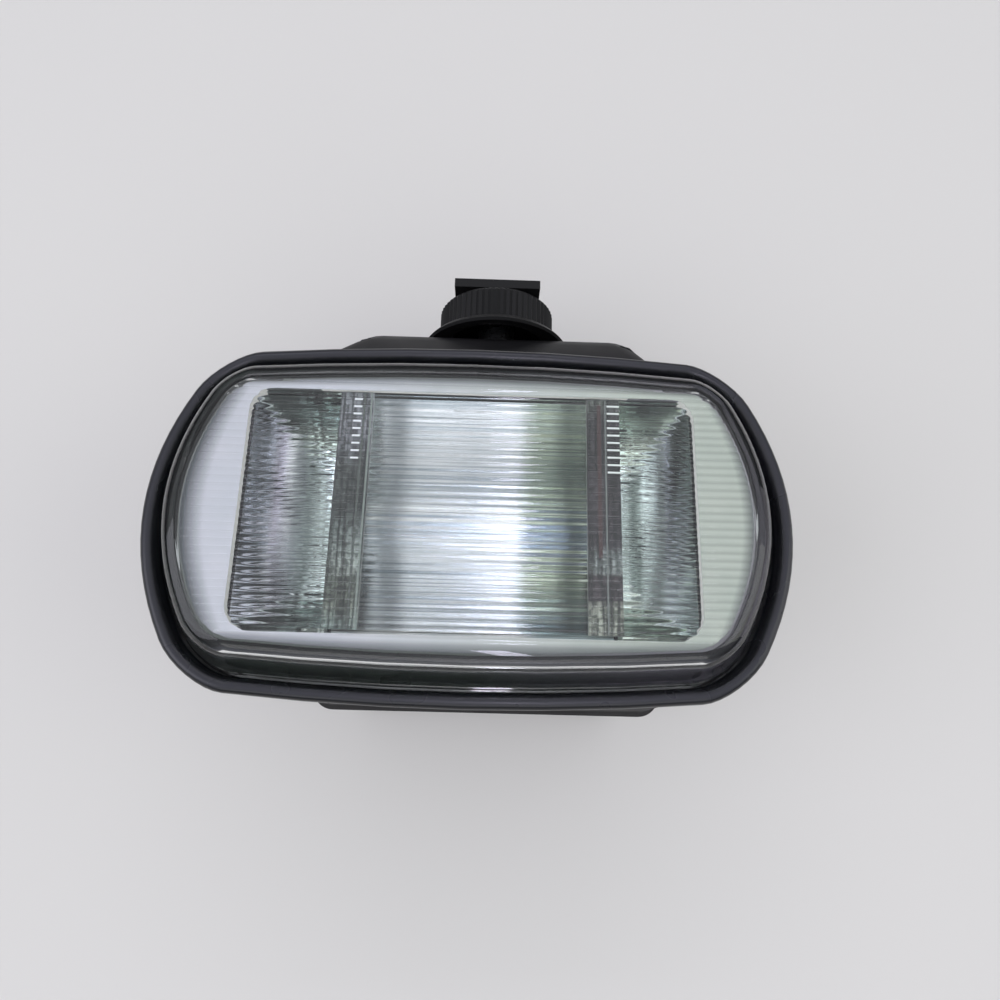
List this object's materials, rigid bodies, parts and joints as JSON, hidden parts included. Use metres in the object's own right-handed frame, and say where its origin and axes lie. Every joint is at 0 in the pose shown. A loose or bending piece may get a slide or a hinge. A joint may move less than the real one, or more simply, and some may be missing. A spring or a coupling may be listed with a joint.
{
  "type": "camera flash",
  "caption": "Shoe-mount electronic camera flash with a wide bowed window over a mirrored trough, a knurled foot lock wheel, a side battery door and controls on the back.",
  "frame": {"origin": "under the middle of the body's width, in the plane of the back face that the flash lies on; the window's axis is 3.5 mm to the left of it", "axes": "+Z is the way the light goes, +Y points to the shoe foot, +X is to the right seen from the front with the foot up"},
  "size_m": [0.105, 0.0914, 0.07],
  "materials": {
    "black_shell": "fine-grained black moulding",
    "black_trim": "smooth satin black moulding",
    "clear_plastic": "clear moulding with fine ribs across its inner face",
    "tube_glass": "clear tube glass",
    "smoke_plastic": "smoked clear strap",
    "mirror_metal": "bright anodised sheet",
    "silver_mask": "vacuum-metallised silver",
    "steel": "plain zinc-plated",
    "nickel": "nickel-plated",
    "black_rubber": "matt",
    "pale_silicone": "pale silicone",
    "green_board": "green solder resist",
    "board_black": "dark moulded block",
    "can_sleeve": "dark blue shrink sleeve",
    "cell_sleeve": "plain grey sleeve",
    "ferrite": "ground ferrite",
    "tape_yellow": "yellow winding tape",
    "white_plastic": "plain white moulding",
    "red_lens": "translucent red",
    "wire_sleeve": "red sleeve",
    "orange_button": "orange moulding"
  },
  "bodies": {
    "casing": {"battery_tray": "black_shell", "bezel_ring": "black_trim", "board_screw_1": "steel", "board_screw_2": "steel", "cell_1": "cell_sleeve", "cell_2": "cell_sleeve", "cell_3": "cell_sleeve", "cell_4": "cell_sleeve", "contact_insulator": "white_plastic", "contact_spring": "steel", "control_panel": "black_trim", "door_hinge_pin": "steel", "fixed_contact_1": "nickel", "fixed_contact_2": "nickel", "flash_tube": "tube_glass", "foot_bracket": "steel", "foot_plate": "black_trim", "foot_screw_1": "steel", "foot_screw_2": "steel", "foot_stem": "steel", "front_housing": "black_shell", "left_electrode": "steel", "left_mouth_strap": "smoke_plastic", "left_side_reflector": "mirror_metal", "left_tube_grommet": "pale_silicone", "left_tube_lead": "wire_sleeve", "light_sensor": "board_black", "main_board": "green_board", "main_capacitor": "can_sleeve", "main_reflector": "mirror_metal", "ready_lamp": "red_lens", "rear_shell": "black_shell", "reflector_frame": "silver_mask", "right_electrode": "steel", "right_mouth_strap": "smoke_plastic", "right_side_reflector": "mirror_metal", "right_tube_grommet": "pale_silicone", "right_tube_lead": "wire_sleeve", "shell_screw_1": "steel", "shell_screw_2": "steel", "shell_screw_3": "steel", "shell_screw_4": "steel", "sync_socket": "nickel", "transformer_core": "ferrite", "transformer_winding": "tape_yellow", "trigger_coil": "tape_yellow", "window": "clear_plastic", "window_gasket": "black_rubber"},
    "battery_door": {"battery_door": "black_shell", "door_contact_1": "nickel", "door_contact_2": "nickel"},
    "door_latch": {"door_latch": "black_trim"},
    "lock_slider": {"pressure_washer": "steel", "lock_pin": "steel"},
    "lock_wheel": {"lock_wheel": "black_trim"},
    "mode_dial": {"mode_dial": "black_trim"},
    "power_switch": {"power_switch": "black_trim"},
    "test_button": {"test_button": "orange_button"},
    "centre_contact": {"centre_contact": "nickel"}
  },
  "joints": [
    {"name": "door_swing", "type": "hinge", "parent": "casing", "child": "battery_door", "pos_m": [0.0306, 0.0209, 0.0034], "axis": [0, 1, 0], "range_deg": [0, 90]},
    {"name": "latch_slide", "type": "slide", "parent": "battery_door", "child": "door_latch", "axis": [0, 0, -1], "range_m": [0, 0.0025]},
    {"name": "lock_travel", "type": "slide", "parent": "casing", "child": "lock_slider", "axis": [0, 1, 0], "range_m": [-0.001, 0.001]},
    {"name": "wheel_turn", "type": "hinge", "parent": "lock_slider", "child": "lock_wheel", "pos_m": [0, 0.0472, 0.028], "axis": [0, 1, 0], "range_deg": [-360, 360]},
    {"name": "dial_turn", "type": "hinge", "parent": "casing", "child": "mode_dial", "pos_m": [-0.009, -0.0138, 0], "axis": [0, 0, 1], "range_deg": [-150, 150]},
    {"name": "switch_slide", "type": "slide", "parent": "casing", "child": "power_switch", "axis": [1, 0, 0], "range_m": [0, 0.005]},
    {"name": "button_press", "type": "slide", "parent": "casing", "child": "test_button", "axis": [0, 0, 1], "range_m": [0, 0.0006], "stiffness_N_per_m": 400},
    {"name": "contact_press", "type": "slide", "parent": "casing", "child": "centre_contact", "axis": [0, 1, 0], "range_m": [-0.0006, 0], "stiffness_N_per_m": 300}
  ],
  "couplings": [
    {"joint": "lock_travel", "follows": "wheel_turn", "m_per_rad": 0.00015915}
  ]
}
